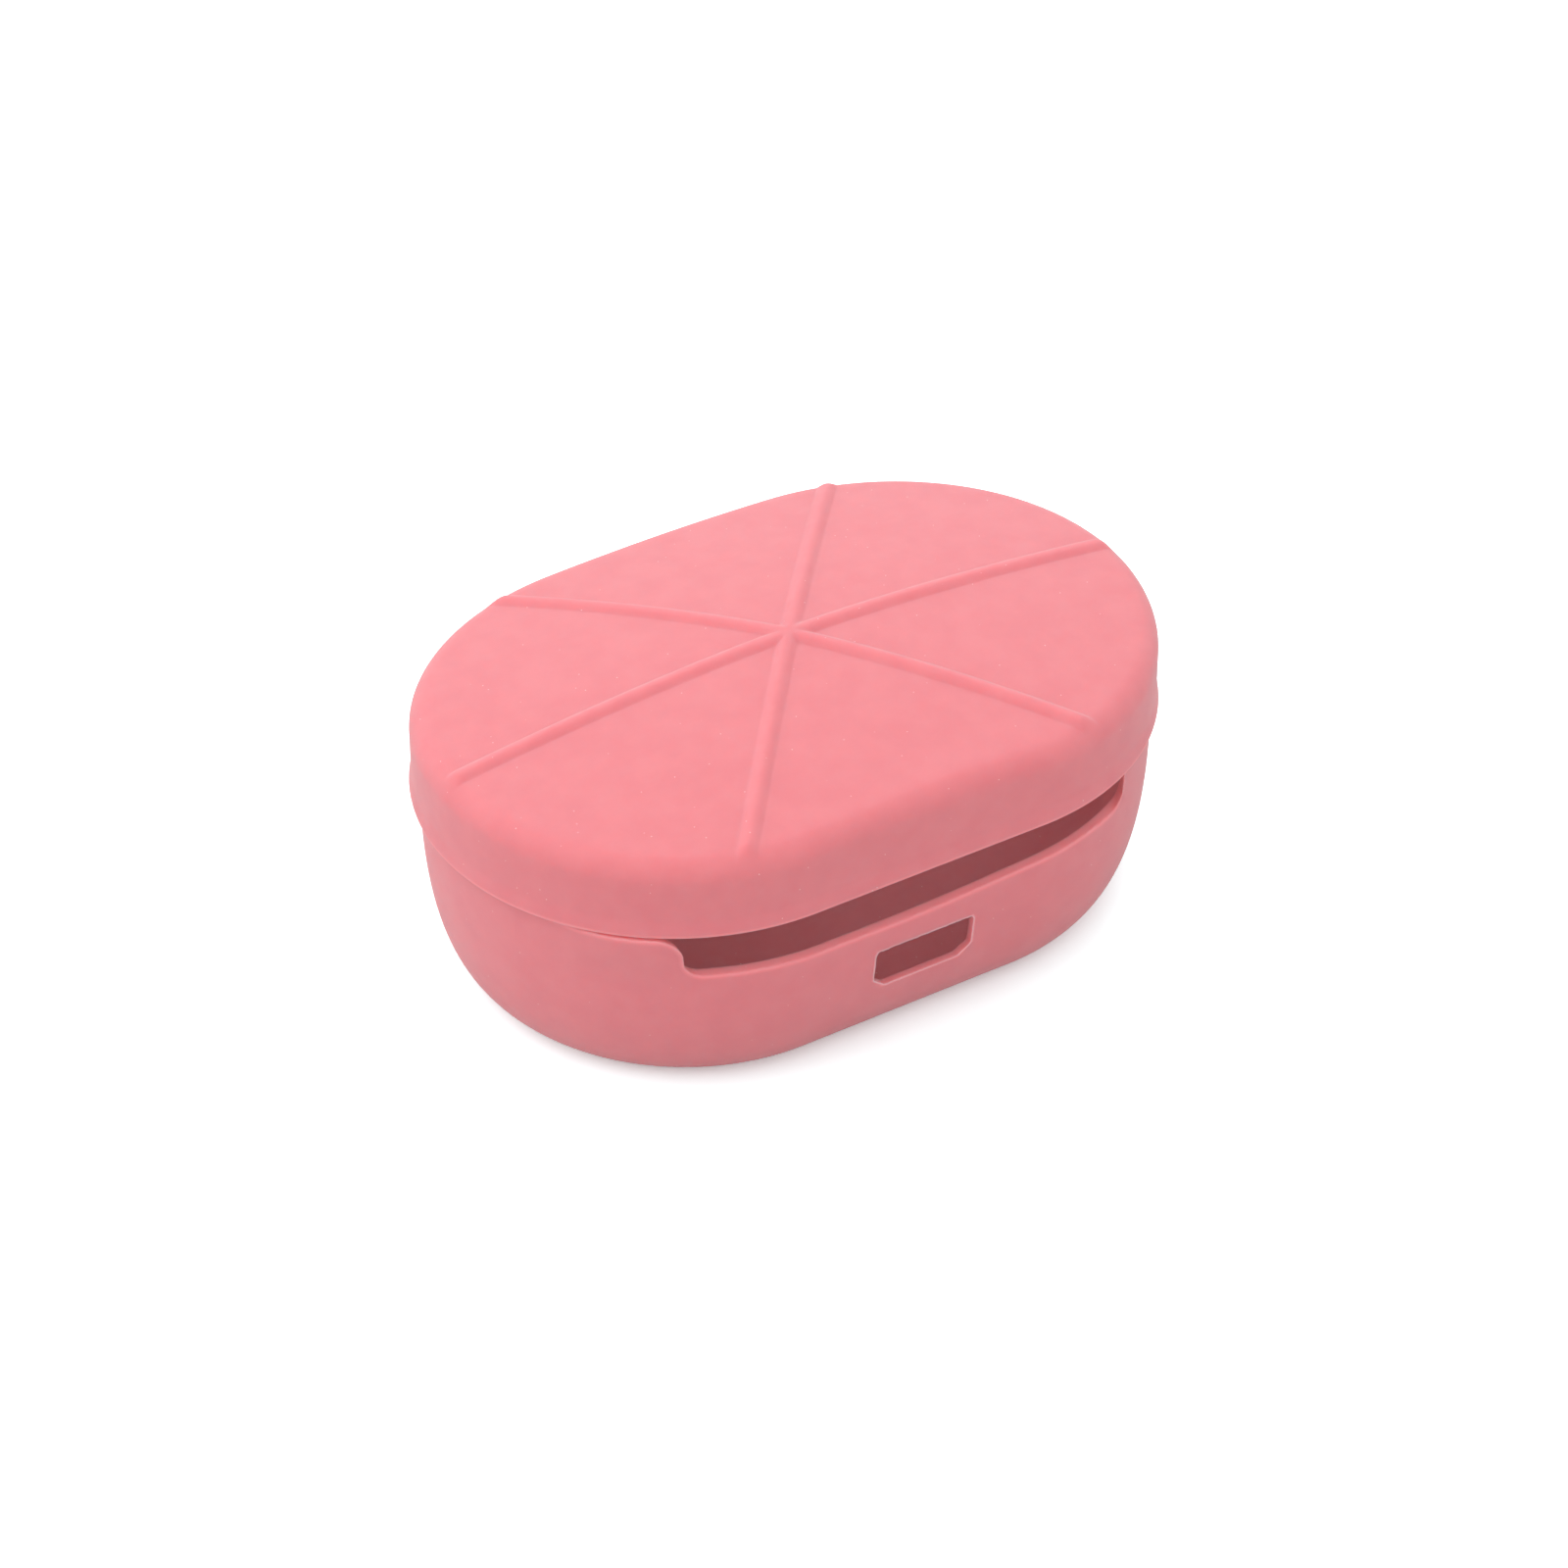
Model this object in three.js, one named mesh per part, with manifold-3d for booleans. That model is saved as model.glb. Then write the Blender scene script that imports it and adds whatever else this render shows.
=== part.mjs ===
// Protective silicone cover for a small oval charging case: a bowl-shaped base
// with a hinge notch and a charging port, and a domed lid with six raised ribs.
// Millimetres, +Z up. The origin is the centre of the underside, +X runs along
// the length, and the hinge notch and the port are on the -Y side.

import * as THREE from 'three';
import { ParametricGeometry } from 'three/addons/geometries/ParametricGeometry.js';
import { mergeVertices } from 'three/addons/utils/BufferGeometryUtils.js';
import Module from 'manifold-3d';

// Plan outlines: stadiums, given by half length and half width.
const LID = { halfLength: 33.0, halfWidth: 22.15 };
const BASE = { halfLength: 32.1, halfWidth: 22.1 };

// Heights.
const LID_EDGE_Z = 17.8;
const SEAM_GAP = 0.3;
const BASE_RIM_Z = LID_EDGE_Z - SEAM_GAP;
const LID_CROWN_Z = 27.7;

// Lid: domed top, rounded shoulder, upright skirt with a slightly flared lip.
const LID_WALL = 1.2;
const LID_TOP_THICKNESS = 1.6;
const DOME_DROP = 2.63;
const DOME_POWER = 1.75;
const SHOULDER_RADIUS = 1.7;
const INNER_SHOULDER_RADIUS = 1.6;
const LIP_FLARE = 0.2;
const LIP_HEIGHT = 0.7;

// Ribs: rounded bars that stand out of the dome and fade into the shoulder.
const RIB_RADIUS = 0.95;
const RIB_HEIGHT = 0.45;
const RIB_ANGLES_DEG = [0, 51, -51];
const RIB_END_INSET = 1.4;
const RIB_FADE_LENGTH = 1.6;

// Base: sides that curve in to a flat underside.
const BASE_WALL = 0.9;
const BASE_FLOOR = 1.2;
const UNDERSIDE_INSET = 7.45;
const SIDE_POWER = 2.57;
const SIDE_ROOT = 3.05;
const RIM_ROUNDING = 0.35;

// Hinge notch in the rim, with rounded corners.
const NOTCH = { halfWidth: 21.1, floorZ: 13.8, topRadius: 1.5, floorRadius: 1.5 };

// Charging port: a flat-topped opening with its two lower corners cut off.
const PORT = { halfWidth: 4.79, topZ: 11.1, bottomZ: 6.9, cut: 1.2, rise: 1.0, topRadius: 0.45 };

// Mesh fineness.
const ARC_STEPS = 32;
const STRAIGHT_STEPS = 6;
const RIB_STEPS = 24;
const RIB_ARC_SEGMENTS = 4;
const CUTTER_ARC_SEGMENTS = 4;

const silicone = new THREE.MeshStandardMaterial({ color: '#e8848a', roughness: 0.75, metalness: 0 });

const wasm = await Module();
wasm.setup();

// ---------------------------------------------------------------- helpers

// Point on the ring that lies `inset` inside a stadium outline. `turn` runs from
// 0 to 1 around it: right end, far side, left end, near side.
function ringPoint(outline, inset, turn) {
  const halfStraight = outline.halfLength - outline.halfWidth;
  const radius = outline.halfWidth - inset;
  const halfLoop = ARC_STEPS + STRAIGHT_STEPS;
  const step = turn * 2 * halfLoop;
  const side = step < halfLoop ? 1 : -1;
  const along = step < halfLoop ? step : step - halfLoop;
  const angle = Math.PI * (Math.min(along / ARC_STEPS, 1) - 0.5);
  const slide = Math.max(along - ARC_STEPS, 0) / STRAIGHT_STEPS;
  const x = halfStraight * (1 - 2 * slide) + radius * Math.cos(angle);
  return new THREE.Vector2(side * x, side * radius * Math.sin(angle));
}

// Closed wall through a list of stations, its lower surface first. Each station has
// the inset of its ring and its height as a function of the point on the ring.
function loft(outline, stations) {
  const last = stations.length - 1;
  const stationPoint = (index, turn) => {
    const p = ringPoint(outline, stations[index].inset, turn);
    return new THREE.Vector3(p.x, p.y, stations[index].height(p));
  };
  const surface = (turn, v, target) => {
    const place = Math.min(v, 1) * last;
    const low = Math.min(Math.floor(place), last - 1);
    const start = stationPoint(low, turn % 1);
    target.lerpVectors(start, stationPoint(low + 1, turn % 1), place - low);
  };
  return new ParametricGeometry(surface, 2 * (ARC_STEPS + STRAIGHT_STEPS), last);
}

// The geometry with shared corners merged and collapsed triangles left out.
function weld(geometry) {
  geometry.deleteAttribute('normal');
  geometry.deleteAttribute('uv');
  const welded = mergeVertices(geometry, 1e-4);
  const index = welded.index.array;
  const kept = [];
  for (let i = 0; i < index.length; i += 3) {
    const [a, b, c] = index.subarray(i, i + 3);
    if (a !== b && b !== c && c !== a) kept.push(a, b, c);
  }
  welded.setIndex(kept);
  return welded;
}

function toSolid(geometry) {
  const welded = weld(geometry);
  const mesh = new wasm.Mesh({
    numProp: 3,
    vertProperties: new Float32Array(welded.attributes.position.array),
    triVerts: new Uint32Array(welded.index.array),
  });
  return new wasm.Manifold(mesh);
}

function toMesh(solid, name) {
  const { vertProperties, triVerts } = solid.getMesh();
  const geometry = new THREE.BufferGeometry();
  geometry.setAttribute('position', new THREE.BufferAttribute(vertProperties, 3));
  geometry.setIndex(new THREE.BufferAttribute(triVerts, 1));
  geometry.computeVertexNormals();
  const mesh = new THREE.Mesh(geometry, silicone);
  mesh.name = name;
  return mesh;
}

// A shape drawn in X and Z, pushed through the -Y wall.
function wallCutter(shape, nearY, farY) {
  const geometry = new THREE.ExtrudeGeometry(shape, {
    depth: farY - nearY,
    bevelEnabled: false,
    curveSegments: CUTTER_ARC_SEGMENTS,
  });
  geometry.rotateX(Math.PI / 2);
  geometry.translate(0, farY, 0);
  return toSolid(geometry);
}

// ---------------------------------------------------------------- lid

function domeHeight(p) {
  const reach = Math.hypot(p.x / LID.halfLength, p.y / LID.halfWidth);
  return LID_CROWN_Z - DOME_DROP * reach ** DOME_POWER;
}

// Rings of a domed cap seen from its middle outwards, `lower` below the crown,
// ending in a rounded shoulder whose upright side is `sideInset` in.
function capStations(lower, sideInset, shoulderRadius) {
  const shoulderStart = sideInset + shoulderRadius;
  const domeSpan = LID.halfWidth - shoulderStart;
  const dome = [0, 0.25, 0.5, 0.7, 0.85, 0.95].map((share) => ({
    inset: LID.halfWidth - domeSpan * share,
    height: (p) => domeHeight(p) - lower,
  }));
  const shoulder = [0, 1, 2, 3, 4, 5].map((step) => {
    const angle = (step / 5) * (Math.PI / 2);
    return {
      inset: shoulderStart - shoulderRadius * Math.sin(angle),
      height: (p) => domeHeight(p) - lower - shoulderRadius * (1 - Math.cos(angle)),
    };
  });
  return [...dome, ...shoulder];
}

function lidShell() {
  const inside = capStations(LID_TOP_THICKNESS, LID_WALL, INNER_SHOULDER_RADIUS);
  const lip = [
    { inset: LID_WALL, height: () => LID_EDGE_Z },
    { inset: 0, height: () => LID_EDGE_Z },
    { inset: LIP_FLARE / 4, height: () => LID_EDGE_Z + LIP_HEIGHT },
    { inset: LIP_FLARE, height: () => LID_EDGE_Z + 2 * LIP_HEIGHT },
  ];
  const outside = capStations(0, LIP_FLARE, SHOULDER_RADIUS);
  return loft(LID, [...inside, ...lip, ...outside.reverse()]);
}

// Distance from the centre of the lid to its outline along a direction.
function outlineReach(direction) {
  const halfStraight = LID.halfLength - LID.halfWidth;
  const across = halfStraight * direction.y;
  const root = Math.sqrt(LID.halfWidth ** 2 - across ** 2);
  return halfStraight * Math.abs(direction.x) + root;
}

// One long rib through the centre, sunk so that only its crest stands out.
function rib(angleDeg) {
  const angle = THREE.MathUtils.degToRad(angleDeg);
  const direction = new THREE.Vector2(Math.cos(angle), Math.sin(angle));
  const end = outlineReach(direction) - RIB_END_INSET;
  const points = [];
  for (let i = 0; i <= RIB_STEPS; i += 1) {
    const place = end * (2 * (i / RIB_STEPS) - 1);
    const p = direction.clone().multiplyScalar(place);
    const fade = THREE.MathUtils.clamp(1 - (end - Math.abs(place)) / RIB_FADE_LENGTH, 0, 1);
    const crest = RIB_HEIGHT * (1 - fade ** 2);
    points.push(new THREE.Vector3(p.x, p.y, domeHeight(p) + crest - RIB_RADIUS));
  }
  const section = new THREE.Shape().absarc(0, 0, RIB_RADIUS, 0, 2 * Math.PI);
  const geometry = new THREE.ExtrudeGeometry(section, {
    steps: RIB_STEPS,
    curveSegments: RIB_ARC_SEGMENTS,
    extrudePath: new THREE.CatmullRomCurve3(points),
  });
  return toSolid(geometry);
}

function lidCover() {
  const ribs = RIB_ANGLES_DEG.map(rib);
  const solid = ribs.reduce((body, bar) => body.add(bar), toSolid(lidShell()));
  return toMesh(solid, 'lid_cover');
}

// ---------------------------------------------------------------- base

// How far the side has curved in at a height above the underside.
function sideInset(z) {
  const below = 1 - Math.max(z, 0) / LID_EDGE_Z;
  return UNDERSIDE_INSET * (1 - (1 - below ** SIDE_POWER) ** (1 / SIDE_ROOT));
}

// Rings up the side, from `floorZ` to `topZ`, closer together near the floor.
function sideStations(floorZ, topZ, wall) {
  return [0, 0.01, 0.03, 0.07, 0.13, 0.21, 0.33, 0.48, 0.65, 0.82, 1].map((share) => {
    const z = floorZ + (topZ - floorZ) * share;
    return { inset: sideInset(z - floorZ) + wall, height: () => z };
  });
}

function baseShell() {
  const middle = (z) => ({ inset: BASE.halfWidth, height: () => z });
  const outside = [middle(0), ...sideStations(0, BASE_RIM_Z - RIM_ROUNDING, 0)];
  const rim = [
    { inset: RIM_ROUNDING, height: () => BASE_RIM_Z },
    { inset: BASE_WALL, height: () => BASE_RIM_Z },
  ];
  const inside = [middle(BASE_FLOOR), ...sideStations(BASE_FLOOR, BASE_RIM_Z - RIM_ROUNDING, BASE_WALL)];
  return loft(BASE, [...outside, ...rim, ...inside.reverse()]);
}

function notchCutter() {
  const { halfWidth, floorZ, topRadius, floorRadius } = NOTCH;
  const over = BASE_RIM_Z + 2;
  const shoulderX = halfWidth + topRadius;
  const shoulderZ = BASE_RIM_Z - topRadius;
  const cornerX = halfWidth - floorRadius;
  const cornerZ = floorZ + floorRadius;
  const shape = new THREE.Shape();
  shape.moveTo(-shoulderX, over);
  shape.lineTo(-shoulderX, BASE_RIM_Z);
  shape.absarc(-shoulderX, shoulderZ, topRadius, Math.PI / 2, 0, true);
  shape.absarc(-cornerX, cornerZ, floorRadius, Math.PI, 1.5 * Math.PI, false);
  shape.absarc(cornerX, cornerZ, floorRadius, 1.5 * Math.PI, 2 * Math.PI, false);
  shape.absarc(shoulderX, shoulderZ, topRadius, Math.PI, Math.PI / 2, true);
  shape.lineTo(shoulderX, over);
  shape.closePath();
  return wallCutter(shape, -BASE.halfWidth - 3, -BASE.halfWidth / 2);
}

function portCutter() {
  const { halfWidth, topZ, bottomZ, cut, rise, topRadius } = PORT;
  const shape = new THREE.Shape();
  shape.moveTo(-halfWidth + cut, bottomZ);
  shape.lineTo(halfWidth - cut, bottomZ);
  shape.lineTo(halfWidth, bottomZ + rise);
  shape.absarc(halfWidth - topRadius, topZ - topRadius, topRadius, 0, Math.PI / 2, false);
  shape.absarc(-halfWidth + topRadius, topZ - topRadius, topRadius, Math.PI / 2, Math.PI, false);
  shape.lineTo(-halfWidth, bottomZ + rise);
  shape.closePath();
  return wallCutter(shape, -BASE.halfWidth - 3, -BASE.halfWidth / 2);
}

function baseCover() {
  const solid = toSolid(baseShell()).subtract(notchCutter()).subtract(portCutter());
  return toMesh(solid, 'base_cover');
}

// ---------------------------------------------------------------- assembly

const cover = new THREE.Group();
cover.name = 'charging_case_cover';
cover.add(baseCover(), lidCover());

export default cover;
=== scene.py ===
import math

import bmesh
import bpy
import numpy as np
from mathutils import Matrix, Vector
from mathutils.geometry import delaunay_2d_cdt


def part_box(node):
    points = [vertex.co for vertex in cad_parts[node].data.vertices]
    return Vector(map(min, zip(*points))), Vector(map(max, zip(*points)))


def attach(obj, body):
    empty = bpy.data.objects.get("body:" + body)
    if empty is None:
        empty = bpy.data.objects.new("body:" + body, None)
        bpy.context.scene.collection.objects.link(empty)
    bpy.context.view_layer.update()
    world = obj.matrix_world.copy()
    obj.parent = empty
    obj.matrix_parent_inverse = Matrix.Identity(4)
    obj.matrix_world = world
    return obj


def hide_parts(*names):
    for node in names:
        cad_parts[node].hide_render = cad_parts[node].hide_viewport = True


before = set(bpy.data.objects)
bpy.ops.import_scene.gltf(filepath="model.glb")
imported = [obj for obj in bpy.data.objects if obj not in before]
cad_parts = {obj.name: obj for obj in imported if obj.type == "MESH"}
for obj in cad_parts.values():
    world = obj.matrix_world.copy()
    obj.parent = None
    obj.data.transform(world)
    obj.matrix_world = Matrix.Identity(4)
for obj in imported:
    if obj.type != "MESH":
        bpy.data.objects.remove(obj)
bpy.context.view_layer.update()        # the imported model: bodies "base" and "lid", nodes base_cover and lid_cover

MM = 0.001


def node_top_corner(node):
    """The highest corner of a CAD node's box, in millimetres."""
    return np.array(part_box(node)[1]) / MM


def node_low_z(node):
    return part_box(node)[0][2] / MM


# ---------------------------------------------------------------- sizes

# Plan outlines are stadiums: a straight middle with a half circle at each end.
LID_RADIUS = node_top_corner("lid_cover")[1]
LID_STRAIGHT = node_top_corner("lid_cover")[0] - LID_RADIUS
BASE_RADIUS = node_top_corner("base_cover")[1]
BASE_STRAIGHT = node_top_corner("base_cover")[0] - BASE_RADIUS

# Heights. The soft lid settles on the rim, so the seam is all but closed.
LID_EDGE_Z = node_low_z("lid_cover")
RIM_Z = LID_EDGE_Z - 0.1

# Lid.
RIB_HEIGHT = 0.45
RIB_HALF_WIDTH = 0.86
RIB_FOOT = 1.15
RIB_ANGLES = [math.radians(angle) for angle in (0, 51, -51)]
RIB_FADE = (0.45, 1.9)
CROWN_Z = node_top_corner("lid_cover")[2] - RIB_HEIGHT
DOME_DROP = 2.63
DOME_POWER = 1.75
SHOULDER = 1.7
INNER_SHOULDER = 1.6
LID_WALL = 1.2
LID_TOP = 1.6
LIP_FLARE = 0.22
LIP_HEIGHT = 1.8
LIP_ROUND = 0.18
# A painted highlight along the lid's lower lip edge.
LIP_PAINTED_HIGHLIGHT = 1.2

# The lid's +X end has settled inwards a little, from TIP_SETTLE_START outwards.
TIP_SETTLE = 0.2
TIP_SETTLE_START = 14

# Base.
BASE_WALL = 0.9
BASE_FLOOR = 1.2
UNDERSIDE_INSET = 7.45
SIDE_POWER = 2.57
SIDE_ROOT = 3.05

# Up to this height the wall is a plain grid. Above it the rows fan up to the rim.
MIDDLE_Z = 12.2

# The rim's section as distance below its edge line, depth into the wall, and how much
# painted light the edge gets: a lighter colour standing in for light soaking through the
# thin wall. It slopes outwards a little, and its outer edge is slightly ragged.
RIM_SECTION = [
    (0.60, 0.0, 0.0),
    (0.40, 0.0, 0.4),
    (0.26, 0.012, 0.9),
    (0.18, 0.04, 1.0),
    (0.13, 0.08, 1.0),
    (0.10, 0.14, 1.0),
    (0.09, 0.22, 1.0),
    (0.06, 0.40, 1.0),
    (0.02, 0.70, 1.0),
    (0.0, 0.80, 1.0),
    (0.03, 0.87, 1.0),
    (0.12, 0.9, 0.7),
    (0.45, 0.9, 0.1),
]
RAGGED_DEPTHS = (0.03, 0.2)
FLASH_ROUGHNESS = 0.03
FLASH_LIMIT = 0.04
FLASH_SEED = 7

# The soft rim stands out a little beside the notch's left end. Spans are distances along
# the outline from the middle of the -Y side, and minus is to the left.
BULGE = 0.7
BULGE_START = (-36, -27)
BULGE_END = (-25, -17)

# Hinge notch in the rim on the -Y side. Pairs are for its left and its right end.
NOTCH_ENDS = (-21.3, 20.7)
NOTCH_FLOOR = 13.65
NOTCH_FLOOR_RISE = 0.85
NOTCH_RISE_SPAN = (-3, 18)
NOTCH_TOP_ROUNDS = (2.3, 1.0)
NOTCH_SPLAY = 1.1
NOTCH_SPLAY_SPAN = (12, 20)
NOTCH_CUT_FADE = (24.5, 32)
NOTCH_FLOOR_ROUND = 1.5
NOTCH_FLOOR_POINTS = 40
NOTCH_COLUMN_REACH = 23.4

# Charging port below the notch. Rows of its section run from the patch's border at 0 to
# the port's edge at 1, each with how far the flash stands out and how pale it is, its
# paleness partly the flash's own colour and partly a painted highlight.
PORT_MIDDLE_X = -0.33
PORT_HALF = 4.73
PORT_TOP = 11.1
PORT_BOTTOM = 6.9
PORT_CHAMFER = (1.2, 1.0)
PORT_CORNER = 0.45
PORT_WALL = 0.5
PORT_FLASH = 0.07
PORT_FLASH_SEED = 3
PORT_SECTION = [(t, 0, 0) for t in (0.15, 0.3, 0.45, 0.6, 0.75, 0.86)]
PORT_SECTION += [(0.91, 0, 0.3), (0.94, 0.2, 1.3), (0.97, 1, 2), (1.0, 0.9, 2)]
PORT_EDGE_SHARES = (0.15, 0.5, 0.9)
PORT_PATCH_HALF = 7.0
PORT_PATCH_LOW = 4.4

# Silicone. Painted edge light of 1 gives the lit edge colour, a painted lighter edge, and
# one of 2 gives the pale flash colour, pale flash with a painted highlight.
SHADER_VALUES = {
    "Subsurface Weight": 1.0,
    "Subsurface Radius": (1.0, 0.35, 0.3),
    "Subsurface Scale": 0.0012,
    "Sheen Weight": 0.15,
    "Sheen Roughness": 0.5,
    "Roughness": 0.6,
    "IOR": 1.41,
}
SILICONE_DARK = (0.775, 0.234, 0.263, 1)
SILICONE_LIGHT = (0.795, 0.250, 0.278, 1)
# Painted light: edges lightened for light soaking through thin walls, and the lid lip's painted highlight.
LIT_EDGE = (0.97, 0.295, 0.32, 1)
# Pale port flash: partly the flash's own paler colour, partly a painted highlight.
PALE_FLASH_WITH_HIGHLIGHT = (1.0, 0.39, 0.43, 1)
DUST = (0.98, 0.72, 0.74, 1)
BLOTCH_SIZE = 2.5
GRAIN_SIZE = 0.18
GRAIN_DEPTH = 0.01
DUST_SPACING = 1.2
DUST_RADIUS = 0.06

# Floor. It throws back FLOOR_THROWN, and the camera sees FLOOR_SEEN with FLOOR_LIFT added.
FLOOR_THROWN = (0.55, 0.55, 0.55, 1)
FLOOR_SEEN = (1.15, 1.46, 1.46, 1)
FLOOR_LIFT = (0.17, 0.135, 0.135, 1)

# Camera: focal length, direction from the object, the point it looks at, and distance in metres.
CAMERA_LENS = 125.91
CAMERA_DIRECTION = (-31.562, 37.598)
CAMERA_TARGET = (-0.324, 0.146, 12.071)
CAMERA_DISTANCE = 0.46219

# Inner lamps.
INNER_LAMP_COLOUR = (0.72, 1.0, 0.98)
INNER_LAMP_Z = 20.5

# Mesh fineness.
COLUMNS = 640
WALL_ROWS = 30
FAN_ROWS = 10
DOME_STEP = 0.45
RIB_BAND = 1.35
RIB_ROW_STEP = 0.14
RIB_ALONG_STEP = 0.26


# ---------------------------------------------------------------- helpers


def ease(x, low, high):
    """Rises smoothly from 0 at low to 1 at high."""
    t = np.clip((x - low) / (high - low), 0, 1)
    return t * t * (3 - 2 * t)


def half_loop(straight, radius):
    return 2 * straight + math.pi * radius


def outline_point(s, inset, straight, radius):
    """
    Plan point inset from a stadium, a distance s along its outline.
    The distance starts at the middle of the -Y side and runs towards +X.
    """
    half = half_loop(straight, radius)
    side = np.where(np.mod(s, 2 * half) < half, 1.0, -1.0)
    t = np.mod(s, half)
    angle = np.clip((t - straight) / radius, 0, math.pi)
    centre = np.minimum(t, straight) - np.clip(t - straight - math.pi * radius, 0, None)
    reach = radius - inset
    return side * (centre + reach * np.sin(angle)), -side * reach * np.cos(angle)


def even_columns(straight, radius, count=COLUMNS):
    return np.arange(count) / count * 2 * half_loop(straight, radius)


def lengths_along(points):
    return np.concatenate([[0], np.cumsum(np.hypot(*np.diff(points, axis=0).T))])


def resample(points, count, warp=None):
    """The same polyline in count + 1 points, evenly spaced along it unless warp moves them."""
    points = np.asarray(points, float)
    along = lengths_along(points)
    at = np.linspace(0, along[-1], count + 1)
    if warp is not None:
        at = warp(at, along[-1])
    return np.column_stack([np.interp(at, along, points[:, k]) for k in (0, 1)])


def arc(centre, radius, start, end, count=24):
    angles = np.radians(np.linspace(start, end, count))
    return [(centre[0] + radius * math.cos(a), centre[1] + radius * math.sin(a)) for a in angles]


def quarter(count):
    return np.linspace(0, math.pi / 2, count + 1)


class Skin:
    """A closed surface gathered from rings of vertices and from patches."""

    def __init__(self):
        self.points = []
        self.glow = []
        self.faces = []
        self.total = 0

    def add(self, x, y, z, glow=0.0):
        """Adds vertices and returns their numbers. Glow is painted light: lighter thin edges, a painted highlight
        on the lid's lip, and pale port flash with a painted highlight.
        """
        block = np.column_stack(np.broadcast_arrays(x, y, z))
        self.points.append(block)
        self.glow.append(np.full(len(block), glow))
        numbers = np.arange(self.total, self.total + len(block))
        self.total += len(block)
        return numbers

    def bridge(self, rings, skip=()):
        """Quads between neighbouring closed rings, apart from the columns to skip."""
        for low, high in zip(rings, rings[1:]):
            for i in range(len(low)):
                if i not in skip:
                    j = (i + 1) % len(low)
                    self.faces.append((low[i], low[j], high[j], high[i]))

    def build(self, name, body, node, material):
        """Writes the mesh, and puts the piece on its body in place of its CAD node."""
        mesh = bpy.data.meshes.new(name)
        points = np.concatenate(self.points) * MM
        mesh.from_pydata(points.tolist(), [], [[int(v) for v in face] for face in self.faces])
        # Painted edge light, stored per vertex.
        glow = mesh.attributes.new("painted_edge_light", "FLOAT", "POINT")
        glow.data.foreach_set("value", np.concatenate(self.glow))
        bm = bmesh.new()
        bm.from_mesh(mesh)
        bmesh.ops.remove_doubles(bm, verts=bm.verts, dist=1e-7)
        bmesh.ops.recalc_face_normals(bm, faces=bm.faces)
        bm.to_mesh(mesh)
        bm.free()
        mesh.shade_smooth()
        mesh.materials.append(material)
        piece = bpy.data.objects.new(name, mesh)
        bpy.context.scene.collection.objects.link(piece)
        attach(piece, body)
        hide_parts(node)
        return piece


# ---------------------------------------------------------------- lid


def dome_height(x, y):
    reach = np.hypot(x / (LID_STRAIGHT + LID_RADIUS), y / LID_RADIUS)
    return CROWN_Z - DOME_DROP * reach**DOME_POWER


def lid_inset(x, y):
    """How far inside the lid's outline a plan point is."""
    return LID_RADIUS - np.hypot(np.maximum(np.abs(x) - LID_STRAIGHT, 0), y)


def across_rib(x, y, angle):
    return x * math.sin(angle) - y * math.cos(angle)


def rib_height(x, y):
    """Soft beads along the rib lines, which merge where they cross and fade into the shoulder."""
    sharpness = 6
    total = 0
    for angle in RIB_ANGLES:
        bead = np.clip(1 - (across_rib(x, y, angle) / RIB_HALF_WIDTH) ** 2, 0, 1) ** RIB_FOOT
        total = total + bead**sharpness
    return RIB_HEIGHT * ease(lid_inset(x, y), *RIB_FADE) * np.minimum(total, 1) ** (1 / sharpness)


def top_height(x, y):
    """Height of the lid's upper surface, ribs and shoulder included."""
    left = SHOULDER - np.clip(lid_inset(x, y) - LIP_FLARE, 0, SHOULDER)
    drop = SHOULDER - np.sqrt(SHOULDER**2 - left**2)
    return dome_height(x, y) - drop + rib_height(x, y)


def shoulder_inset(angle):
    return LIP_FLARE + SHOULDER * (1 - math.cos(angle))


def top_plan_points(s):
    """Plan points of the top: the ring s first, then rings inwards, and close rows along the ribs."""
    angles = np.linspace(math.pi / 4, math.pi / 2, 6)
    insets = [shoulder_inset(angle) for angle in angles]
    insets += list(np.arange(insets[-1] + DOME_STEP, LID_RADIUS, DOME_STEP))
    border = np.column_stack(outline_point(s, insets[0], LID_STRAIGHT, LID_RADIUS))
    rings = []
    for inset in insets[1:]:
        length = 4 * LID_STRAIGHT + 2 * math.pi * (LID_RADIUS - inset)
        columns = even_columns(LID_STRAIGHT, LID_RADIUS, 2 * round(length / DOME_STEP / 2))
        rings.append(np.column_stack(outline_point(columns, inset, LID_STRAIGHT, LID_RADIUS)))
    plain = np.concatenate(rings)
    from_ribs = np.min([np.abs(across_rib(*plain.T, angle)) for angle in RIB_ANGLES], axis=0)
    blocks = [border, plain[from_ribs > RIB_BAND]]
    for angle in RIB_ANGLES:
        blocks.append(rib_rows(angle, insets[1]))
    return np.concatenate(blocks)


def rib_rows(angle, least_inset):
    """Plan points in rows along one rib line, where it is the nearest one."""
    reach = LID_STRAIGHT + LID_RADIUS
    along = np.arange(-reach, reach, RIB_ALONG_STEP)
    across = np.arange(-RIB_BAND, RIB_BAND + 0.01, RIB_ROW_STEP)
    u, v = (grid.ravel() for grid in np.meshgrid(along, across))
    x = u * math.cos(angle) + v * math.sin(angle)
    y = u * math.sin(angle) - v * math.cos(angle)
    keep = lid_inset(x, y) > least_inset
    for other in RIB_ANGLES:
        if other != angle:
            keep &= np.abs(across_rib(x, y, other)) > np.abs(v) + RIB_ROW_STEP / 2
    return np.column_stack([x, y])[keep]


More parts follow.
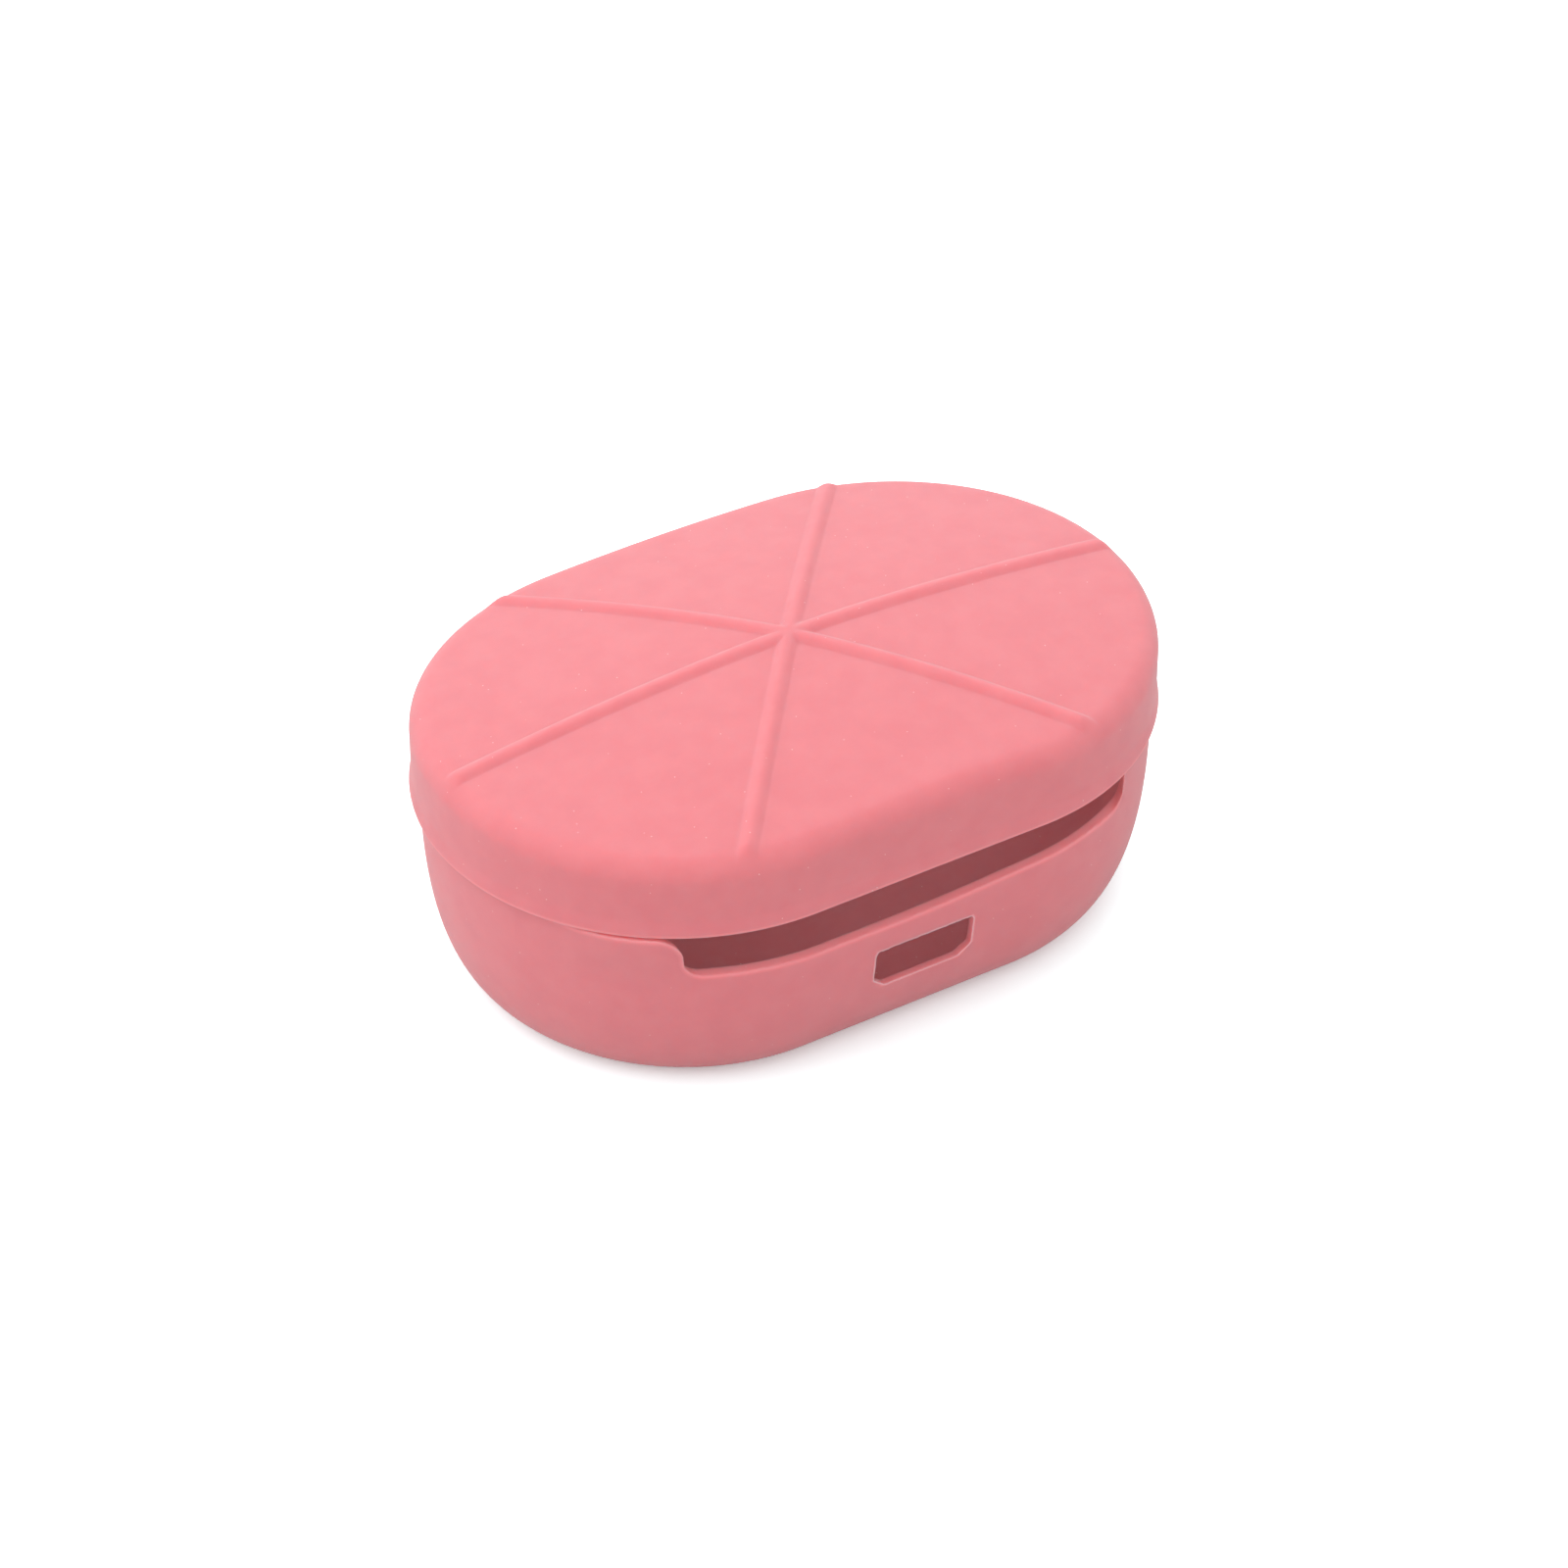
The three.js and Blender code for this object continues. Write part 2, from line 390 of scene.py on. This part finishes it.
def add_top(skin, s):
    """The domed top and its ribs, as one fine triangle mesh."""
    plan = top_plan_points(s)
    border = [(i, (i + 1) % len(s)) for i in range(len(s))]
    flat, _, triangles, _, _, _ = delaunay_2d_cdt([Vector(p) for p in plan], border, [], 0, 1e-5)
    flat = np.array(flat)
    numbers = skin.add(flat[:, 0], flat[:, 1], top_height(*flat.T))
    skin.faces += [tuple(numbers[i] for i in triangle) for triangle in triangles]


def make_lid(material):
    """Rings from the middle of the ceiling, down the inner wall, round the lip and up to the shoulder."""
    s = even_columns(LID_STRAIGHT, LID_RADIUS)
    skin = Skin()

    def ring(inset, height, glow=0.0):
        x, y = outline_point(s, inset, LID_STRAIGHT, LID_RADIUS)
        return skin.add(x, y, height(x, y) if callable(height) else height, glow)

    def dropped(drop):
        return lambda x, y: dome_height(x, y) - drop

    def between(low, drop, share):
        return lambda x, y: low * (1 - share) + (dome_height(x, y) - drop) * share

    flat_inset = LID_WALL + INNER_SHOULDER
    rings = [ring(inset, dropped(LID_TOP)) for inset in np.linspace(LID_RADIUS, flat_inset, 16)]
    for a in quarter(6)[1:]:
        drop = LID_TOP + INNER_SHOULDER * (1 - math.cos(a))
        rings.append(ring(flat_inset - INNER_SHOULDER * math.sin(a), dropped(drop)))
    wall_low = LID_EDGE_Z + LIP_ROUND
    for share in np.linspace(1, 0, 9)[1:]:
        rings.append(ring(LID_WALL, between(wall_low, LID_TOP + INNER_SHOULDER, share)))
    for a in quarter(3)[1:]:
        rings.append(ring(LID_WALL - LIP_ROUND * (1 - math.cos(a)), wall_low - LIP_ROUND * math.sin(a)))
    # The lip's lower edge gets a painted highlight.
    for a in quarter(4):
        z = wall_low - LIP_ROUND * math.cos(a)
        rings.append(ring(LIP_ROUND * (1 - math.sin(a)), z, LIP_PAINTED_HIGHLIGHT * math.sin(a)))
    for z in np.linspace(wall_low, LID_EDGE_Z + LIP_HEIGHT, 9)[1:]:
        rings.append(ring(LIP_FLARE * ease(z, LID_EDGE_Z, LID_EDGE_Z + LIP_HEIGHT), z))
    for share in np.linspace(0, 1, 9)[1:]:
        rings.append(ring(LIP_FLARE, between(LID_EDGE_Z + LIP_HEIGHT, SHOULDER, share)))
    for a in np.linspace(0, math.pi / 4, 6)[1:]:
        rings.append(ring(shoulder_inset(a), top_height))
    skin.bridge(rings)
    add_top(skin, s)
    for block in skin.points:
        block[:, 0] -= TIP_SETTLE * ease(block[:, 0], TIP_SETTLE_START, LID_STRAIGHT + LID_RADIUS)
    return skin.build("lid_skin", "lid", "lid_cover", material)


# ---------------------------------------------------------------- base


def side_inset(z):
    below = 1 - np.clip(z, 0, LID_EDGE_Z) / LID_EDGE_Z
    return UNDERSIDE_INSET * (1 - (1 - below**SIDE_POWER) ** (1 / SIDE_ROOT))


def wall_inset(z, depth):
    """Inset of the wall at a height. Depth runs from 0 outside to 1 inside."""
    return side_inset(z) * (1 - depth) + (side_inset(z - BASE_FLOOR) + BASE_WALL) * depth


def side_heights(floor_z, count):
    """Heights of the rows from the floor to the middle of the side, evenly spaced along the curve."""
    z = np.linspace(0, 1, 2000) ** 3 * (MIDDLE_Z - floor_z)
    return floor_z + resample(np.column_stack([side_inset(z), z]), count)[:, 1]


def signed_along(s):
    """Distance along the base's outline as minus to plus half a loop from the middle of its -Y side."""
    loop = 2 * half_loop(BASE_STRAIGHT, BASE_RADIUS)
    return np.mod(s + loop / 2, loop) - loop / 2


def rim_bulge(s, z):
    """How far the soft rim stands out of its outline."""
    signed = signed_along(s)
    along = ease(signed, *BULGE_START) * (1 - ease(signed, *BULGE_END))
    return BULGE * along * ease(z, MIDDLE_Z, RIM_Z)


def outline_reach(half_x, z):
    """Distance along the outline from its middle to where the outer wall reaches half_x."""
    reach = BASE_RADIUS - side_inset(z)
    return BASE_STRAIGHT + BASE_RADIUS * math.asin((half_x - BASE_STRAIGHT) / reach)


def notch_floor(s):
    """Height of the notch's floor, which rises towards its right end."""
    return NOTCH_FLOOR + NOTCH_FLOOR_RISE * ease(s, *NOTCH_RISE_SPAN)


def notch_side(end_x, top_round):
    """From the middle of the notch's floor to the rim beside it, as distances along and heights."""
    end = outline_reach(abs(end_x), RIM_Z)
    corner_s = end - NOTCH_FLOOR_ROUND
    along = np.linspace(0, corner_s, NOTCH_FLOOR_POINTS)
    floor = [(s, notch_floor(math.copysign(s, end_x))) for s in along]
    line = floor[:-1]
    line += arc((corner_s, floor[-1][1] + NOTCH_FLOOR_ROUND), NOTCH_FLOOR_ROUND, -90, 0)
    line += arc((end + top_round, RIM_Z - top_round), top_round, 180, 90)
    return line


def rim_line():
    """
    The rim's edge, notch included, in one point a column.
    The notch's floor takes the columns as far as NOTCH_COLUMN_REACH on the wall below, so
    the rows that fan up to the notch's upright sides come from outside it.
    """
    half = half_loop(BASE_STRAIGHT, BASE_RADIUS)
    left = notch_side(NOTCH_ENDS[0], NOTCH_TOP_ROUNDS[0])
    right = notch_side(NOTCH_ENDS[1], NOTCH_TOP_ROUNDS[1])
    around = [(half, RIM_Z)] + [(2 * half - s, z) for s, z in left[::-1]]

    def crowd(at, total):
        share = NOTCH_COLUMN_REACH / (2 * half)
        corners = [lengths_along(side)[NOTCH_FLOOR_POINTS] for side in (right, left)]
        marks = [0, share * total, (1 - share) * total, total]
        return np.interp(at, marks, [0, corners[0], total - corners[1], total])

    return resample(right + around, COLUMNS, crowd)[:-1]


class Rim:
    """Rings that run beside the rim's edge, at a distance below it and a depth into the wall."""

    def __init__(self):
        self.s, self.z = rim_line().T
        ahead_s = signed_along(np.roll(self.s, -1) - np.roll(self.s, 1))
        ahead_z = np.roll(self.z, -1) - np.roll(self.z, 1)
        length = np.hypot(ahead_s, ahead_z)
        self.into_s, self.into_z = ahead_z / length, -ahead_s / length

    def ring(self, distance, depth):
        """
        Distances along the outline and heights.
        The notch is cut along Y through the wall, and its right end splays inwards.
        """
        s = self.s + self.into_s * distance
        z = self.z + self.into_z * distance
        signed = signed_along(s)
        beyond = np.clip((np.abs(signed) - BASE_STRAIGHT) / BASE_RADIUS, 0, math.pi / 3)
        outside = BASE_RADIUS - wall_inset(z, 0)
        here = BASE_RADIUS - wall_inset(z, depth)
        turned = np.arcsin(np.clip(outside * np.sin(beyond) / here, 0, 1))
        shift = BASE_RADIUS * (turned - beyond)
        shift = shift + NOTCH_SPLAY * depth * ease(signed, *NOTCH_SPLAY_SPAN)
        return s + np.sign(signed) * shift * (1 - ease(np.abs(signed), *NOTCH_CUT_FADE)), z


def port_outline():
    """The port's edge in x and z, once round from the start of its flat bottom."""
    side, bottom, top, r = PORT_HALF, PORT_BOTTOM, PORT_TOP, PORT_CORNER
    cut, rise = PORT_CHAMFER
    points = [(-side + cut, bottom), (side - cut, bottom), (side, bottom + rise)]
    points += arc((side - r, top - r), r, 0, 90, 8)
    points += arc((-side + r, top - r), r, 90, 180, 8)
    points += [(-side, bottom + rise), (-side + cut, bottom)]
    return np.array(points) + (PORT_MIDDLE_X, 0)


def port_edge_towards(x, z):
    """The points of the port's edge that face points of the patch round it."""
    middle = (PORT_TOP + PORT_BOTTOM) / 2
    fine = resample(port_outline(), 4000)
    slim = PORT_HALF / PORT_PATCH_HALF
    tall = (PORT_TOP - middle) / (MIDDLE_Z - middle)
    want = np.arctan2((z - middle) * tall, x * slim)
    have = np.arctan2(fine[:, 1] - middle, fine[:, 0] - PORT_MIDDLE_X)
    return [np.interp(want, have, fine[:, k], period=2 * math.pi) for k in (0, 1)]


class BaseSkin(Skin):
    """Both faces of the base's wall as grids of columns, closed by the rim and two floors."""

    def __init__(self):
        super().__init__()
        self.s = even_columns(BASE_STRAIGHT, BASE_RADIUS)
        self.rim = Rim()
        self.outer_z = side_heights(0, WALL_ROWS)
        self.inner_z = side_heights(BASE_FLOOR, WALL_ROWS)
        self.outer = [self.place(self.s, np.full(COLUMNS, z), 0) for z in self.outer_z]
        self.inner = [self.place(self.s, np.full(COLUMNS, z), 1) for z in self.inner_z]
        self.patch_reach = int(PORT_PATCH_HALF / self.s[1])
        self.patch_low = int(np.argmin(np.abs(self.outer_z - PORT_PATCH_LOW)))

    def place(self, s, z, depth, raised=0.0, glow=0.0):
        """Adds vertices on the wall at distances s along its outline, and returns their numbers."""
        inset = wall_inset(z, depth) - rim_bulge(s, z) - raised
        return self.add(*outline_point(s, inset, BASE_STRAIGHT, BASE_RADIUS), z, glow)

    def floor_rings(self, z, inset):
        reach = BASE_RADIUS - inset
        rings = []
        for share in (0, 0.3, 0.6, 0.85):
            x, y = outline_point(self.s, BASE_RADIUS - reach * share, BASE_STRAIGHT, BASE_RADIUS)
            rings.append(self.add(x, y, z))
        return rings

    def fan(self, distance, depth):
        """Rings from the top of the grid to a ring that follows the rim's edge."""
        s_top, z_top = self.rim.ring(distance, depth)
        rings = []
        for t in np.arange(1, FAN_ROWS) / FAN_ROWS:
            s = self.s * (1 - t) + s_top * t
            z = MIDDLE_Z * (1 - t) + z_top * t
            rings.append(self.place(s, z, depth))
        return rings

    def rim_rings(self):
        """Rings from the outer face over the rim to the inner face."""
        ragged = np.random.default_rng(FLASH_SEED).normal(0, FLASH_ROUGHNESS, COLUMNS)
        ragged = np.clip(ragged, -FLASH_LIMIT, FLASH_LIMIT)
        rings = self.fan(RIM_SECTION[0][0], 0)
        # The rim's top gets painted light, a lighter colour for light soaking through the thin wall.
        for below, depth, glow in RIM_SECTION:
            if RAGGED_DEPTHS[0] < depth < RAGGED_DEPTHS[1]:
                below = below + ragged
            share = depth / BASE_WALL
            rings.append(self.place(*self.rim.ring(below, share), share, glow=glow))
        return rings + self.fan(RIM_SECTION[-1][0], 1)[::-1]

    def close(self):
        """Joins grids, rim and floors. The grids leave out a patch round the port."""
        low, reach = self.patch_low, self.patch_reach
        patch = {i % COLUMNS for i in range(-reach, reach)}
        rim = self.rim_rings()
        self.bridge(self.floor_rings(0, UNDERSIDE_INSET) + self.outer[: low + 1])
        self.bridge(self.outer[low:], patch)
        self.bridge([self.outer[-1], *rim, self.inner[-1]])
        self.bridge(self.inner[low:], patch)
        self.bridge(self.floor_rings(BASE_FLOOR, UNDERSIDE_INSET + BASE_WALL) + self.inner[: low + 1])

    def patch_border(self):
        """Columns and rows round the patch, once round from its lower left corner."""
        low, reach = self.patch_low, self.patch_reach
        border = [(i, low) for i in range(-reach, reach)]
        border += [(reach, j) for j in range(low, WALL_ROWS)]
        border += [(i, WALL_ROWS) for i in range(reach, -reach, -1)]
        border += [(-reach, j) for j in range(WALL_ROWS, low, -1)]
        return border

    def add_port(self):
        """Fills the patch on both faces, with the port's edge between them."""
        border = self.patch_border()
        x = np.array([i * self.s[1] for i, _ in border])
        outer_z = np.array([self.outer_z[j] for _, j in border])
        inner_z = np.array([self.inner_z[j] for _, j in border])
        edge_x, edge_z = port_edge_towards(x, outer_z)
        noise = np.random.default_rng(PORT_FLASH_SEED).normal(0, 0.5, len(border))
        flash = PORT_FLASH * (0.6 + np.abs(noise))

        rings = [np.array([self.outer[j][i] for i, j in border])]
        # Flash rows get the pale flash colour, partly a painted highlight.
        for t, raised, glow in PORT_SECTION:
            at_x, at_z = x * (1 - t) + edge_x * t, outer_z * (1 - t) + edge_z * t
            rings.append(self.place(at_x, at_z, 0, raised * flash, glow))
        thin = PORT_WALL / BASE_WALL
        # The port's cut edge gets painted light, fading into the wall.
        for share in PORT_EDGE_SHARES:
            rings.append(self.place(edge_x, edge_z, thin * share, glow=1 - share))
        for t in np.linspace(1, 0, 9)[:-1]:
            depth = 1 - (1 - thin) * ease(t, 0.4, 1)
            rings.append(self.place(x * (1 - t) + edge_x * t, inner_z * (1 - t) + edge_z * t, depth))
        rings.append(np.array([self.inner[j][i] for i, j in border]))
        self.bridge(rings)


def make_base(material):
    skin = BaseSkin()
    skin.close()
    skin.add_port()
    return skin.build("base_skin", "base", "base_cover", material)


# ---------------------------------------------------------------- material


class NodeTree:
    """A material's nodes, with the few kinds that the silicone needs."""

    def __init__(self, material):
        material.use_nodes = True
        self.nodes = material.node_tree.nodes
        self.link = material.node_tree.links.new
        self.place = self.nodes.new("ShaderNodeTexCoord").outputs["Object"]

    def noise(self, size):
        node = self.nodes.new("ShaderNodeTexNoise")
        node.inputs["Scale"].default_value = 1 / (size * MM)
        node.inputs["Detail"].default_value = 3
        self.link(self.place, node.inputs["Vector"])
        return node.outputs["Fac"]

    def mix(self, factor, below, above):
        node = self.nodes.new("ShaderNodeMix")
        node.data_type = "RGBA"
        self.link(factor, node.inputs["Factor"])
        self.link(below, node.inputs[6])
        node.inputs[7].default_value = above
        return node.outputs[2]

    def rise(self, value, low, high):
        """From 0 where value is low to 1 where it is high."""
        node = self.nodes.new("ShaderNodeMapRange")
        node.inputs["From Min"].default_value = low
        node.inputs["From Max"].default_value = high
        self.link(value, node.inputs["Value"])
        return node.outputs["Result"]


def add_blotches(tree):
    """Base colour with faint blotches."""
    ramp = tree.nodes.new("ShaderNodeValToRGB")
    ramp.color_ramp.elements[0].position = 0.35
    ramp.color_ramp.elements[0].color = SILICONE_DARK
    ramp.color_ramp.elements[1].position = 0.65
    ramp.color_ramp.elements[1].color = SILICONE_LIGHT
    tree.link(tree.noise(BLOTCH_SIZE), ramp.inputs["Fac"])
    return ramp.outputs["Color"]


def add_edges(tree, colour):
    """Paints light onto thin edges and the lid's lip, and paints the pale port flash with a highlight."""
    edge = tree.nodes.new("ShaderNodeAttribute")
    edge.attribute_name = "painted_edge_light"
    lit = tree.mix(edge.outputs["Fac"], colour, LIT_EDGE)
    return tree.mix(tree.rise(edge.outputs["Fac"], 1, 2), lit, PALE_FLASH_WITH_HIGHLIGHT)


def add_dust(tree, colour):
    """Small spots round a scatter of points."""
    dust = tree.nodes.new("ShaderNodeTexVoronoi")
    dust.inputs["Scale"].default_value = 1 / (DUST_SPACING * MM)
    tree.link(tree.place, dust.inputs["Vector"])
    radius = DUST_RADIUS / DUST_SPACING
    return tree.mix(tree.rise(dust.outputs["Distance"], radius, 0.4 * radius), colour, DUST)


def silicone():
    material = bpy.data.materials.new("coral_silicone")
    tree = NodeTree(material)
    shader = tree.nodes["Principled BSDF"]
    for name, value in SHADER_VALUES.items():
        shader.inputs[name].default_value = value
    colour = add_dust(tree, add_edges(tree, add_blotches(tree)))
    tree.link(colour, shader.inputs["Base Color"])

    bump = tree.nodes.new("ShaderNodeBump")
    bump.inputs["Strength"].default_value = 0.5
    bump.inputs["Distance"].default_value = GRAIN_DEPTH * MM
    tree.link(tree.noise(GRAIN_SIZE), bump.inputs["Height"])
    tree.link(bump.outputs["Normal"], shader.inputs["Normal"])
    return material


# ---------------------------------------------------------------- stage


def make_floor():
    """
    A pale plane. It looks brighter to the camera than it is for the light it throws back,
    so it is seen white, all but the contact shadow.
    """
    bpy.ops.mesh.primitive_plane_add(size=8)
    floor = bpy.context.object
    floor.name = "floor"
    material = bpy.data.materials.new("floor_white")
    material.use_nodes = True
    nodes = material.node_tree.nodes
    link = material.node_tree.links.new
    nodes.remove(nodes["Principled BSDF"])
    paper = nodes.new("ShaderNodeBsdfDiffuse")
    paper.inputs["Color"].default_value = FLOOR_THROWN
    seen = nodes.new("ShaderNodeBsdfDiffuse")
    seen.inputs["Color"].default_value = FLOOR_SEEN
    lift = nodes.new("ShaderNodeEmission")
    lift.inputs["Color"].default_value = FLOOR_LIFT
    lifted = nodes.new("ShaderNodeAddShader")
    link(seen.outputs[0], lifted.inputs[0])
    link(lift.outputs[0], lifted.inputs[1])
    rays = nodes.new("ShaderNodeLightPath")
    either = nodes.new("ShaderNodeMixShader")
    link(rays.outputs["Is Camera Ray"], either.inputs["Fac"])
    link(paper.outputs[0], either.inputs[1])
    link(lifted.outputs[0], either.inputs[2])
    link(either.outputs[0], nodes["Material Output"].inputs["Surface"])
    floor.data.materials.append(material)


def make_sun(name, azimuth, elevation, strength, softness):
    """A soft light with no falloff. Angles are in degrees, and softness is its apparent width."""
    lamp = bpy.data.lights.new(name, "SUN")
    lamp.energy = strength
    lamp.angle = math.radians(softness)
    sun = bpy.data.objects.new(name, lamp)
    bpy.context.scene.collection.objects.link(sun)
    sun.rotation_mode = "QUATERNION"
    sun.rotation_quaternion = from_direction(azimuth, elevation).to_track_quat("Z", "Y")


def make_inner_glow(name, x, y, size, energy):
    """A faint lamp inside the hollow, in place of the light that soaks through the real walls."""
    lamp = bpy.data.lights.new(name, "AREA")
    lamp.shape = "ELLIPSE"
    lamp.size = size[0] * MM
    lamp.size_y = size[1] * MM
    lamp.energy = energy
    lamp.color = INNER_LAMP_COLOUR
    glow = bpy.data.objects.new(name, lamp)
    glow.location = (x * MM, y * MM, INNER_LAMP_Z * MM)
    glow.visible_camera = False
    bpy.context.scene.collection.objects.link(glow)


def from_direction(azimuth, elevation):
    """The unit vector to a direction in degrees. Azimuth turns from -Y towards +X."""
    az, el = math.radians(azimuth), math.radians(elevation)
    return Vector((math.sin(az) * math.cos(el), -math.cos(az) * math.cos(el), math.sin(el)))


def make_world(strength):
    world = bpy.data.worlds.new("soft_room")
    world.use_nodes = True
    background = world.node_tree.nodes["Background"]
    background.inputs["Color"].default_value = (1, 1, 1, 1)
    background.inputs["Strength"].default_value = strength
    bpy.context.scene.world = world


def make_camera():
    lens = bpy.data.cameras.new("camera")
    lens.lens = CAMERA_LENS
    lens.sensor_width = 36
    lens.clip_start = 0.01
    camera = bpy.data.objects.new("camera", lens)
    bpy.context.scene.collection.objects.link(camera)
    back = from_direction(*CAMERA_DIRECTION)
    camera.location = Vector(CAMERA_TARGET) * MM + back * CAMERA_DISTANCE
    camera.rotation_mode = "QUATERNION"
    camera.rotation_quaternion = back.to_track_quat("Z", "Y")
    bpy.context.scene.camera = camera


silicone_skin = silicone()
make_lid(silicone_skin)
make_base(silicone_skin)
make_floor()
make_world(0.88)
make_sun("back", 150, 45, 0.47, 60)
make_sun("left", -115, 40, 0.78, 60)
make_sun("front", -31, 35, 0.33, 60)
make_inner_glow("inner_glow", 0, 0, (46, 28), 0.00135)
make_inner_glow("inner_glow_right", 21, -3, (12, 16), 0.0005)
make_camera()
bpy.context.scene.view_settings.view_transform = "Standard"
